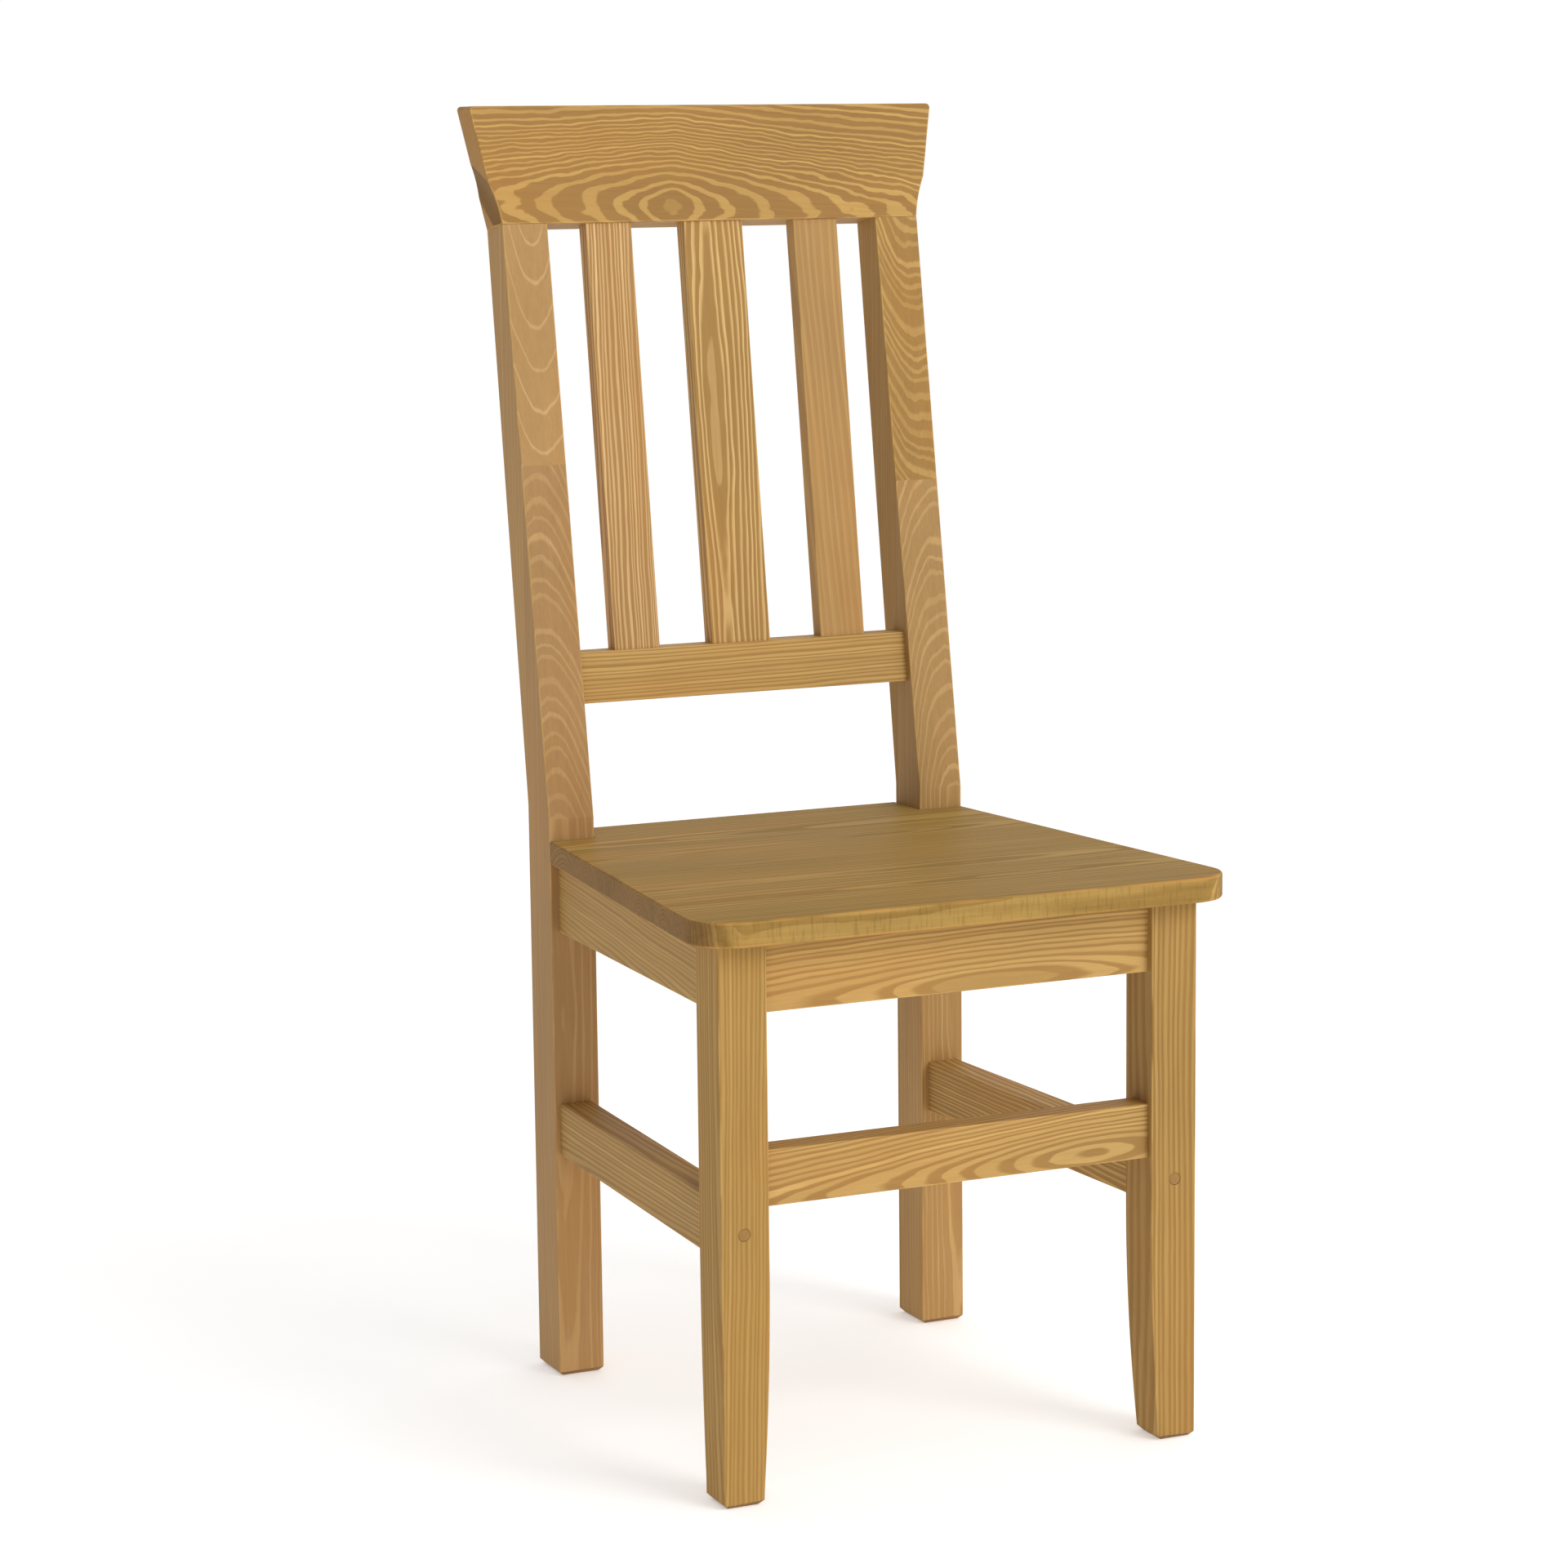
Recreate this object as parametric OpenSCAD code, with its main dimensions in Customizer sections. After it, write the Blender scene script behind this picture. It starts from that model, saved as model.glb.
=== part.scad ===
// Solid pine dining chair with a raked slat back and a flared crest rail.
// Frame: origin on the floor under the middle of the chair, front at -Y, up +Z.

/* [Overall] */
// Height of the seat's top above the floor
seat_h = 460; // [400:1:520]
// Height of the crest rail's top front edge above the floor
back_h = 1062; // [880:1:1280]
// Width across the outer faces of the front legs
front_w = 412; // [340:1:520]
// Width across the outer faces of the rear legs
rear_w = 383; // [320:1:480]
// Distance from the front legs' front faces to the rear legs' front faces
leg_pitch = 377; // [300:1:460]

/* [Legs] */
// Width of every leg, left to right
leg_w = 40; // [32:0.5:50]
// Depth of a front leg
front_leg_d = 42; // [34:0.5:52]
// Depth of a rear leg below its bend
rear_leg_d = 47; // [38:0.5:58]
// How much a front leg's inner faces draw in at the floor
foot_taper = 7; // [2:0.5:12]
// Height at which a front leg's taper begins
taper_h = 190; // [120:1:220]
// Chamfer round the bottom of each foot
foot_chamfer = 4; // [1:0.5:6]
// Height of the bend in the rear legs above the seat's top
bend_rise = 17; // [5:1:30]
// Lean of the back's front face, in degrees
front_rake = 9.2; // [5:0.1:14]
// Lean of the back's rear face, in degrees
rear_rake = 8.1; // [5:0.1:14]
// Depth of the left rear leg's front board
left_board_d = 47; // [40:0.1:60]
// Depth of the right rear leg's front board
right_board_d = 42.7; // [34:0.1:60]

/* [Seat] */
// Thickness of the seat panel
seat_t = 20; // [15:0.5:28]
// Overhang of the seat in front of the front legs
seat_front_over = 27; // [10:1:40]
// Overhang of the seat's front corners beside the front legs
seat_side_over = 26; // [5:1:40]
// Radius of the seat's front corners
seat_corner_r = 35; // [10:1:60]
// Gap between the seat's notches and the rear legs
seat_gap = 0.5; // [0.2:0.1:2]

/* [Aprons] */
// Height of the four aprons
apron_h = 58; // [45:1:80]
// Thickness of the four aprons
apron_t = 20; // [16:0.5:26]
// How far the aprons stand in from the legs' outer faces
apron_inset = 7.5; // [3:0.5:12]
// Length of a corner block along each apron
block_len = 70; // [55:1:90]
// Height of a corner block
block_h = 32; // [24:1:40]

/* [Stretchers] */
// Height of the three stretchers
stretcher_h = 44; // [34:0.5:54]
// Height of the side stretchers' bottom edge above the floor
side_stretcher_z = 192; // [120:1:230]
// Thickness of the side stretchers
side_stretcher_t = 28; // [20:0.5:32]
// How far the side stretchers stand in from the legs' outer faces
side_stretcher_inset = 5; // [2:0.5:10]
// Height of the front stretcher's bottom edge above the floor
front_stretcher_z = 232; // [150:1:290]
// Thickness of the front stretcher
front_stretcher_t = 25; // [18:0.5:30]
// How far the front stretcher stands in from the legs' front faces
front_stretcher_inset = 6.5; // [2:0.5:12]

/* [Back] */
// Height of the lower back rail's bottom above the seat's top
rail_rise = 109; // [60:1:160]
// Height of the lower back rail
rail_h = 42; // [30:0.5:60]
// Thickness of the lower back rail
rail_t = 21; // [17:0.5:28]
// How far the lower back rail's face stands behind the posts' faces
rail_inset = 7; // [2:0.5:12]
// Height of the crest rail, along its face
crest_h = 98; // [70:1:130]
// Width of the crest rail at its top
crest_top_w = 426; // [380:1:540]
// How much narrower each end of the crest rail is at its rear edge
crest_skew = 3; // [0:0.1:5]
// Radius of the scoop low on each end of the crest rail
scoop_r = 60; // [40:1:90]
// Height of the scoop at the crest rail's front edge
scoop_h = 26; // [12:1:40]
// How far the scoop climbs on its way to the rear edge
scoop_climb = 35; // [0:1:45]
// Depth that is left of the scoop at the rear edge
scoop_fade = 0.8; // [0.4:0.1:2]
// Width of the two outer slats
outer_slat_w = 41; // [30:0.5:50]
// Width of the middle slat
middle_slat_w = 54; // [35:0.5:65]
// Distance between the middle lines of two slats
slat_pitch = 95.5; // [75:0.5:120]
// Thickness of the slats
slat_t = 16; // [12:0.5:18]
// How far the slats stand behind the lower rail's face
slat_low_inset = 4.8; // [2:0.1:6]
// How far the slats stand behind the crest rail's face
slat_top_inset = 3; // [2:0.1:8]

/* [Joints] */
// Diameter of every dowel
dowel_d = 8; // [6:0.5:10]
// Length of a dowel
dowel_len = 36; // [24:1:40]
// Gap round a dowel, screw, plug or tenon
fit_gap = 0.1; // [0.05:0.05:0.3]
// Extra depth left at the bottom of a blind hole
hole_relief = 1; // [0.5:0.5:3]
// Length of the slats' tenons
tenon_len = 12; // [8:1:18]
// Thickness of the slats' tenons
tenon_t = 8; // [6:0.5:10]
// Shoulder on each edge of a slat beside its tenon
tenon_shoulder = 5; // [3:0.5:8]
// Diameter of the wooden plugs on the front legs, over the stretcher screws' heads
plug_d = 10; // [8:0.5:14]
// Depth of the wooden plugs
plug_len = 8; // [5:0.5:12]
// Length of the stretcher screws
long_screw_len = 70; // [55:1:90]
// Diameter of the screws in the corner blocks
screw_d = 4; // [3:0.5:5]

/* [Hidden] */
$fn = 48;

pine = [0.70, 0.53, 0.31];
pine_dark = [0.60, 0.44, 0.25];
pine_pale = [0.77, 0.60, 0.37];
steel = [0.72, 0.70, 0.62];

// a length past any face, for cutters
beyond = 2000;
// the least wood between a hole and the next face
min_wall = 3;
// boards glued edge to edge in the seat
seat_boards = 4;
// heights of a joint's two dowels, as parts of the rail's height
rail_dowels = [0.27, 0.73];
// the same for the aprons, staggered so that dowels from two sides miss each other in a leg
end_apron_rows = [0.2, 0.6];
side_apron_rows = [0.4, 0.8];

// heights
under_seat = seat_h - seat_t;
bend_z = seat_h + bend_rise;
apron_z = under_seat - apron_h;
rail_z = seat_h + rail_rise;
rail_top_z = rail_z + rail_h;

// the posts' own frame lies on their front faces: s runs up the face from the bend
rake_top_s = (back_h - bend_z) / cos(front_rake);
crest_s = rake_top_s - crest_h;
// where a level plane at height z cuts the posts' frame, at depth t behind their front faces
function level_s(z, t) = (z - bend_z + t * sin(front_rake)) / cos(front_rake);
// thickness of the posts, square to their front faces, at height s
function post_t(s) = rear_leg_d * cos(front_rake)
    - (s - rear_leg_d * sin(front_rake)) * tan(front_rake - rear_rake);

// depth: the whole chair is centred on Y
back_run = (back_h - bend_z) * tan(rear_rake);
total_d = seat_front_over + leg_pitch + rear_leg_d + back_run;
front_y = seat_front_over - total_d / 2;
rear_y = front_y + leg_pitch;
rear_back_y = rear_y + rear_leg_d;
front_leg_back_y = front_y + front_leg_d;
seat_front_y = -total_d / 2;

// the legs' inner faces, from the middle
front_in = front_w / 2 - leg_w;
rear_in = rear_w / 2 - leg_w;

// front faces of the front apron, the rear apron and the front stretcher
apron_front_y = front_y + apron_inset;
apron_rear_y = rear_back_y - apron_inset - apron_t;
fs_y = front_y + front_stretcher_inset;

// splay of the sides between the legs
side_run = rear_y - front_leg_back_y;
function side_x(inset, y) = front_w / 2 - inset
    - (front_w - rear_w) / 2 * (y - front_leg_back_y) / side_run;

module on_both_sides() {
    children();
    mirror([1, 0, 0]) children();
}

// ---------- holes and fasteners ----------

// a dowel, or its hole when grow is above 0, centred on its joint and lying along X
module dowel_x(grow = 0) {
    len = dowel_len + (grow > 0 ? 2 * hole_relief : 0);
    rotate([0, 90, 0]) cylinder(d = dowel_d + 2 * grow, h = len, center = true);
}

// a dowel, centred on its joint and lying along Y
module dowel_y(grow = 0) {
    rotate([0, 0, 90]) dowel_x(grow);
}

// dowels of the front and rear aprons into the right-hand legs
module end_apron_dowels(grow = 0) {
    for (up = end_apron_rows) {
        translate([front_in, apron_front_y + apron_t / 2, apron_z + apron_h * up]) dowel_x(grow);
        translate([rear_in, apron_rear_y + apron_t / 2, apron_z + apron_h * up]) dowel_x(grow);
    }
}

// dowels of the right-hand side apron into its two legs
module side_apron_dowels(grow = 0) {
    for (up = side_apron_rows, y = [front_leg_back_y, rear_y])
        translate([side_x(apron_inset + apron_t / 2, y), y, apron_z + apron_h * up]) dowel_y(grow);
}

// dowels of the front stretcher into the right-hand leg
module front_stretcher_dowels(grow = 0) {
    for (up = rail_dowels)
        translate([front_in, fs_y + front_stretcher_t / 2, front_stretcher_z + stretcher_h * up])
            dowel_x(grow);
}

// dowels of the right-hand side stretcher into its rear leg
module side_stretcher_dowels(grow = 0) {
    for (up = rail_dowels)
        translate([side_x(side_stretcher_inset + side_stretcher_t / 2, rear_y), rear_y,
                side_stretcher_z + stretcher_h * up])
            dowel_y(grow);
}

// dowels of the lower back rail into the right-hand post
module rail_end_dowels(grow = 0) {
    t = rail_inset + rail_t / 2;
    on_rake()
        for (up = rail_dowels)
            translate([rear_in, t, level_s(rail_z + rail_h * up, t)]) dowel_x(grow);
}

// dowels of the crest rail down into the right-hand post
module post_top_dowels(grow = 0) {
    on_rake()
        for (side = [-1, 1])
            translate([rear_w / 2 - leg_w / 2 + side * leg_w / 4, post_t(crest_s) / 2, crest_s])
                rotate([0, 90, 0]) dowel_x(grow);
}

// a countersunk wood screw: its head lies at the origin and its point along +Z
module wood_screw(d, len) {
    head_h = d / 2;
    union() {
        cylinder(d1 = 2 * d, d2 = d, h = head_h);
        translate([0, 0, head_h]) cylinder(d = d, h = len - head_h);
    }
}

// the clearance hole for such a screw, open behind the head
module screw_hole(d, len, behind) {
    union() {
        translate([0, 0, -behind]) cylinder(d = 2 * d + 2 * fit_gap, h = behind + d / 2);
        cylinder(d = d + 2 * fit_gap, h = len + hole_relief);
    }
}

// the stretcher screws' heads just pass the holes of the plugs
long_screw_d = plug_d / 2;

// the line of the right-hand stretcher's screw, from the bottom of its plug
module at_stretcher_screw() {
    translate([side_x(side_stretcher_inset + side_stretcher_t / 2, front_leg_back_y),
            front_y + plug_len, side_stretcher_z + stretcher_h / 2])
        rotate([-90, 0, 0]) children();
}

// ---------- legs ----------

// how far a front leg's inner face has drawn in at height z
function taper_at(z) = z >= taper_h ? 0 : foot_taper * pow((taper_h - z) / taper_h, 2);

// outline of a front leg with its inner face on the left
module front_leg_outline(depth) {
    steps = 12;
    curve = [for (i = [0 : steps]) let (z = taper_h * i / steps) [taper_at(z), z]];
    polygon(concat([[depth, 0]], curve, [[0, under_seat], [depth, under_seat]]));
}

// everything outside a foot's chamfer, for a foot from x0 to x1 and from y0 to y1
module foot_trim(x0, x1, y0, y1) {
    c = foot_chamfer;
    for (cut = [[x0, y0, 0], [x1, y0, 90], [x1, y1, 180], [x0, y1, 270]])
        translate([cut[0], cut[1], 0]) rotate([0, 0, cut[2]])
            rotate([0, 90, 0])
                linear_extrude(beyond, center = true)
                    polygon([[1, -1], [-c - 1, -1], [1, c + 1]]);
}

// the right-hand front leg
module front_leg_wood() {
    difference() {
        intersection() {
            translate([front_in, front_leg_back_y, 0]) rotate([90, 0, 0])
                linear_extrude(front_leg_d) front_leg_outline(leg_w);
            translate([front_in, front_leg_back_y, 0]) rotate([90, 0, 90])
                linear_extrude(leg_w) mirror([1, 0]) front_leg_outline(front_leg_d);
        }
        foot_trim(front_in + foot_taper, front_w / 2, front_y, front_leg_back_y - foot_taper);
    }
}

module front_leg() {
    difference() {
        front_leg_wood();
        end_apron_dowels(fit_gap);
        side_apron_dowels(fit_gap);
        front_stretcher_dowels(fit_gap);
        at_stretcher_screw() screw_hole(long_screw_d, long_screw_len, 0);
        at_plug() plug_shape(fit_gap);
    }
}

module at_plug() {
    at_stretcher_screw() translate([0, 0, -plug_len]) children();
}

module plug_shape(grow = 0) {
    translate([0, 0, -grow]) cylinder(d = plug_d + 2 * grow, h = plug_len + grow);
}

module leg_plug() {
    at_plug() plug_shape();
}

// a child drawn in the posts' own frame
module on_rake() {
    translate([0, rear_y, bend_z]) rotate([-front_rake, 0, 0]) children();
}

// side view of a whole rear leg, Y to the right and Z up
module rear_leg_outline() {
    top_z = bend_z + crest_s * cos(front_rake);
    top_y = rear_y + crest_s * sin(front_rake);
    t = post_t(crest_s);
    polygon([
        [rear_y, 0],
        [rear_back_y, 0],
        [rear_back_y, bend_z],
        [top_y + t * cos(front_rake), top_z - t * sin(front_rake)],
        [top_y, top_z],
        [rear_y, bend_z]
    ]);
}

// the part of the right-hand rear leg from one depth to another behind its front face
module rear_leg_part(from, to) {
    difference() {
        translate([rear_in, 0, 0]) rotate([90, 0, 90])
            linear_extrude(leg_w)
                intersection() {
                    rear_leg_outline();
                    translate([rear_y + from, 0]) square([to - from, back_h]);
                }
        foot_trim(rear_in, rear_w / 2, rear_y, rear_back_y);
        end_apron_dowels(fit_gap);
        side_apron_dowels(fit_gap);
        side_stretcher_dowels(fit_gap);
        rail_end_dowels(fit_gap);
        post_top_dowels(fit_gap);
    }
}

// ---------- aprons and stretchers ----------

module cross_rail(half, y, z, t, h) {
    translate([-half, y, z]) cube([2 * half, t, h]);
}

module front_apron() {
    color(pine) difference() {
        cross_rail(front_in, apron_front_y, apron_z, apron_t, apron_h);
        on_both_sides() {
            end_apron_dowels(fit_gap);
            block_screws_right(fit_gap);
        }
    }
}

module rear_apron() {
    color(pine) difference() {
        cross_rail(rear_in, apron_rear_y, apron_z, apron_t, apron_h);
        on_both_sides() {
            end_apron_dowels(fit_gap);
            block_screws_right(fit_gap);
        }
    }
}

// a rail on the right-hand side that runs between the legs along the splay
module side_rail(inset, t, z, h) {
    y0 = front_leg_back_y;
    y1 = rear_y;
    translate([0, 0, z]) linear_extrude(h)
        polygon([
            [side_x(inset + t, y0), y0],
            [side_x(inset, y0), y0],
            [side_x(inset, y1), y1],
            [side_x(inset + t, y1), y1]
        ]);
}

module side_apron() {
    color(pine) difference() {
        side_rail(apron_inset, apron_t, apron_z, apron_h);
        side_apron_dowels(fit_gap);
        block_screws_right(fit_gap);
    }
}

module front_stretcher() {
    color(pine_pale) difference() {
        cross_rail(front_in, fs_y, front_stretcher_z, front_stretcher_t, stretcher_h);
        on_both_sides() front_stretcher_dowels(fit_gap);
    }
}

module side_stretcher() {
    color(pine) difference() {
        side_rail(side_stretcher_inset, side_stretcher_t, side_stretcher_z, stretcher_h);
        side_stretcher_dowels(fit_gap);
        at_stretcher_screw() screw_hole(long_screw_d, long_screw_len, 0);
    }
}

// ---------- back ----------

// everything from one level plane up to another
module level_slab(from, to) {
    translate([-beyond / 2, -beyond / 2, from]) cube([beyond, beyond, to - from]);
}

// raked faces, with a level top and bottom
module lower_back_rail() {
    color(pine) difference() {
        intersection() {
            on_rake() translate([-rear_in, rail_inset, -beyond / 2])
                cube([2 * rear_in, rail_t, beyond]);
            level_slab(rail_z, rail_top_z);
        }
        on_both_sides() rail_end_dowels(fit_gap);
        all_slats(fit_gap);
    }
}

// the slats' own frame: their front faces lie a little steeper than the posts'
slat_low_y = rail_inset + slat_low_inset;
slat_low_s = level_s(rail_top_z, slat_low_y);
slat_tilt = atan((slat_low_y - slat_top_inset) / (crest_s - slat_low_s));
slat_len = (crest_s - slat_low_s) / cos(slat_tilt);

module on_slats() {
    on_rake() translate([0, slat_low_y, slat_low_s]) rotate([slat_tilt, 0, 0]) children();
}

// the room between the lower back rail and the crest rail
module slat_room() {
    intersection() {
        on_rake() translate([-beyond / 2, -beyond / 2, crest_s - beyond]) cube(beyond);
        level_slab(rail_top_z, back_h);
    }
}

module slat(w, x) {
    color(pine_pale) {
        union() {
            intersection() {
                on_slats() translate([x - w / 2, 0, -slat_t]) cube([w, slat_t, slat_len + 2 * slat_t]);
                slat_room();
            }
            slat_tenons(w, x, 0);
        }
    }
}

module slat_tenons(w, x, grow) {
    tw = w - 2 * tenon_shoulder + 2 * grow;
    deep = tenon_len + (grow > 0 ? hole_relief : 0);
    on_slats()
        for (z = [-deep, slat_len - slat_t / 2])
            translate([x - tw / 2, (slat_t - tenon_t) / 2 - grow, z])
                cube([tw, tenon_t + 2 * grow, deep + slat_t / 2]);
}

module all_slats(grow) {
    slat_tenons(middle_slat_w, 0, grow);
    for (side = [-1, 1]) slat_tenons(outer_slat_w, side * slat_pitch, grow);
}

// the crest rail's flared end: its slope, and the thickness at its bottom
crest_t = post_t(crest_s);
crest_slope = (crest_top_w / 2 - crest_skew - rear_w / 2) / crest_h;

// everything beyond the flared right-hand end of the crest rail
module crest_end_cut() {
    translate([rear_w / 2, crest_t, crest_s])
        rotate([0, atan(crest_slope), 0]) rotate([0, 0, atan(crest_skew / crest_t)])
            translate([0, -beyond / 2, -beyond / 2]) cube(beyond);
}

// the scoop's middle line at the front face and at the rear face
scoop_in = crest_skew + crest_slope * scoop_h;
scoop_s = scoop_h - sqrt(2 * scoop_r * scoop_in - scoop_in * scoop_in);
scoop_rear_s = scoop_s + scoop_climb;
scoop_rear_x = crest_slope * scoop_rear_s
    + (scoop_r - scoop_fade) * sqrt(1 + crest_slope * crest_slope);
scoop_run = [scoop_rear_x - scoop_r, crest_t, scoop_climb];

// the hollow low on the right-hand end, deep at the front and almost gone at the rear
module crest_scoop() {
    translate([rear_w / 2 + scoop_r, 0, crest_s + scoop_s])
        rotate([0, acos(scoop_run[2] / norm(scoop_run)), atan2(scoop_run[1], scoop_run[0])])
            translate([0, 0, -scoop_r])
                cylinder(r = scoop_r, h = norm(scoop_run) + 2 * scoop_r, $fn = 180);
}

// raked faces, with a level top
module crest_wood() {
    blank_w = crest_top_w + 2 * crest_h;
    blank_s = rake_top_s + crest_t;
    intersection() {
        on_rake() difference() {
            translate([-blank_w / 2, 0, 0]) rotate([90, 0, 90])
                linear_extrude(blank_w)
                    polygon([
                        [0, crest_s],
                        [crest_t, crest_s],
                        [post_t(blank_s), blank_s],
                        [0, blank_s]
                    ]);
            on_both_sides() {
                crest_end_cut();
                crest_scoop();
            }
        }
        level_slab(0, back_h);
    }
}

module crest_rail() {
    color(pine_pale) difference() {
        crest_wood();
        on_both_sides() post_top_dowels(fit_gap);
        all_slats(fit_gap);
    }
}

// ---------- seat ----------

// plan of the seat's right-hand half, from the front middle round to the rear middle
seat_half_w = front_w / 2 + seat_side_over;
notch_y = rear_y - seat_gap;
seat_splay = atan((seat_half_w - rear_w / 2) / (notch_y - seat_front_y));
corner_x = seat_half_w - seat_corner_r * (1 + sin(seat_splay)) / cos(seat_splay);
corner_steps = 16;
seat_half = concat(
    [for (i = [0 : corner_steps])
        let (a = -90 + (90 + seat_splay) * i / corner_steps)
        [corner_x, seat_front_y + seat_corner_r] + seat_corner_r * [cos(a), sin(a)]],
    [
        [rear_w / 2, notch_y],
        [rear_in - seat_gap, notch_y],
        [rear_in - seat_gap, rear_back_y]
    ]
);

module seat_outline() {
    last = len(seat_half) - 1;
    polygon(concat(seat_half, [for (i = [last : -1 : 0]) [-seat_half[i][0], seat_half[i][1]]]));
}

module seat_board(index) {
    board_d = (rear_back_y - seat_front_y) / seat_boards;
    color(index % 2 == 0 ? pine : pine_pale) difference() {
        translate([0, 0, under_seat]) linear_extrude(seat_t)
            intersection() {
                seat_outline();
                translate([-beyond / 2, seat_front_y + index * board_d]) square([beyond, board_d]);
            }
        on_both_sides() seat_screws_right(fit_gap);
    }
}

// ---------- corner blocks ----------

// plan of a right-hand corner block: the apron's inner face at y = apron_y, the leg's
// corner at [leg_x, leg_y], and dir +1 at the front or -1 at the rear
function block_points(leg_x, leg_y, apron_y, dir) = [
    [leg_x - seat_gap, apron_y],
    [leg_x - seat_gap, leg_y + dir * seat_gap],
    [side_x(apron_inset + apron_t, leg_y + dir * seat_gap), leg_y + dir * seat_gap],
    [side_x(apron_inset + apron_t, apron_y + dir * block_len), apron_y + dir * block_len],
    [leg_x - block_len + apron_t / 2, apron_y]
];
front_block = block_points(front_in, front_leg_back_y, apron_front_y + apron_t, 1);
rear_block = block_points(rear_in, rear_y, apron_rear_y, -1);

// the seat screws go up through the blocks, halfway from the leg to the long edge, to half the seat's depth
function halfway(a, b) = (a + b) / 2;
function block_middle(p) = halfway(p[1], halfway(p[3], p[4]));
seat_screw_len = block_h - screw_d + seat_t / 2;

module at_seat_screws() {
    for (p = [front_block, rear_block])
        translate([block_middle(p)[0], block_middle(p)[1], under_seat - block_h + screw_d])
            children();
}

module seat_screws_right(grow = 0) {
    at_seat_screws()
        if (grow > 0) {
            screw_hole(screw_d, seat_screw_len, 2 * screw_d);
        } else {
            wood_screw(screw_d, seat_screw_len);
        }
}

// places of the screws into the two aprons, as parts of a block's length from its two tips
cross_screw_at = 0.38;
side_screw_at = 0.28;
// depth of their heads behind the meeting face, and their length
block_screw_grip = 0.22 * block_len;
block_screw_len = block_screw_grip + apron_t - min_wall - hole_relief;

module at_block_screws() {
    z = under_seat - block_h / 2;
    for (dir = [1, -1]) {
        p = dir > 0 ? front_block : rear_block;
        cross_x = p[4][0] + cross_screw_at * block_len;
        side_y = p[3][1] - dir * side_screw_at * block_len;
        translate([cross_x, p[4][1] + dir * block_screw_grip, z]) rotate([dir * 90, 0, 0]) children();
        translate([side_x(apron_inset + apron_t, side_y) - block_screw_grip, side_y, z])
            rotate([0, 90, 0]) children();
    }
}

module block_screws_right(grow = 0) {
    at_block_screws()
        if (grow > 0) {
            screw_hole(screw_d, block_screw_len, block_len);
        } else {
            wood_screw(screw_d, block_screw_len);
        }
}

module corner_block(points) {
    color(pine_dark) difference() {
        translate([0, 0, under_seat - block_h]) linear_extrude(block_h) polygon(points);
        seat_screws_right(fit_gap);
        block_screws_right(fit_gap);
    }
}

// ---------- nodes ----------

module front_leg_right() { color(pine) front_leg(); }
module front_leg_left() { color(pine) mirror([1, 0, 0]) front_leg(); }
module rear_leg_right() { color(pine) rear_leg_part(0, right_board_d); }
module rear_leg_left() { color(pine) mirror([1, 0, 0]) rear_leg_part(0, left_board_d); }
module rear_post_right() { color(pine_pale) rear_leg_part(right_board_d, total_d); }
module rear_post_left() { color(pine_pale) mirror([1, 0, 0]) rear_leg_part(left_board_d, total_d); }
module right_apron() { side_apron(); }
module left_apron() { mirror([1, 0, 0]) side_apron(); }
module right_stretcher() { side_stretcher(); }
module left_stretcher() { mirror([1, 0, 0]) side_stretcher(); }
module back_slat_left() { slat(outer_slat_w, -slat_pitch); }
module back_slat_middle() { slat(middle_slat_w, 0); }
module back_slat_right() { slat(outer_slat_w, slat_pitch); }
module seat_board_front() { seat_board(0); }
module seat_board_second() { seat_board(1); }
module seat_board_third() { seat_board(2); }
module seat_board_rear() { seat_board(3); }
module corner_block_front_right() { corner_block(front_block); }
module corner_block_front_left() { mirror([1, 0, 0]) corner_block(front_block); }
module corner_block_rear_right() { corner_block(rear_block); }
module corner_block_rear_left() { mirror([1, 0, 0]) corner_block(rear_block); }
module leg_plug_right() { color(pine_dark) leg_plug(); }
module leg_plug_left() { color(pine_dark) mirror([1, 0, 0]) leg_plug(); }
module apron_dowels() {
    color(pine_pale) on_both_sides() {
        end_apron_dowels();
        side_apron_dowels();
    }
}
module stretcher_dowels() {
    color(pine_pale) on_both_sides() {
        front_stretcher_dowels();
        side_stretcher_dowels();
    }
}
module back_rail_dowels() { color(pine_pale) on_both_sides() rail_end_dowels(); }
module crest_dowels() { color(pine_pale) on_both_sides() post_top_dowels(); }
module stretcher_screws() {
    color(steel) on_both_sides() at_stretcher_screw() wood_screw(long_screw_d, long_screw_len);
}
module block_screws() { color(steel) on_both_sides() block_screws_right(); }
module seat_screws() { color(steel) on_both_sides() seat_screws_right(); }

front_leg_left();
front_leg_right();
rear_leg_left();
rear_leg_right();
rear_post_left();
rear_post_right();
front_apron();
rear_apron();
left_apron();
right_apron();
front_stretcher();
left_stretcher();
right_stretcher();
lower_back_rail();
crest_rail();
back_slat_left();
back_slat_middle();
back_slat_right();
seat_board_front();
seat_board_second();
seat_board_third();
seat_board_rear();
corner_block_front_left();
corner_block_front_right();
corner_block_rear_left();
corner_block_rear_right();
leg_plug_left();
leg_plug_right();
apron_dowels();
stretcher_dowels();
back_rail_dowels();
crest_dowels();
stretcher_screws();
block_screws();
seat_screws();
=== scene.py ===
import math
import bmesh
import bpy
from mathutils import Euler, Matrix, Vector


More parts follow.
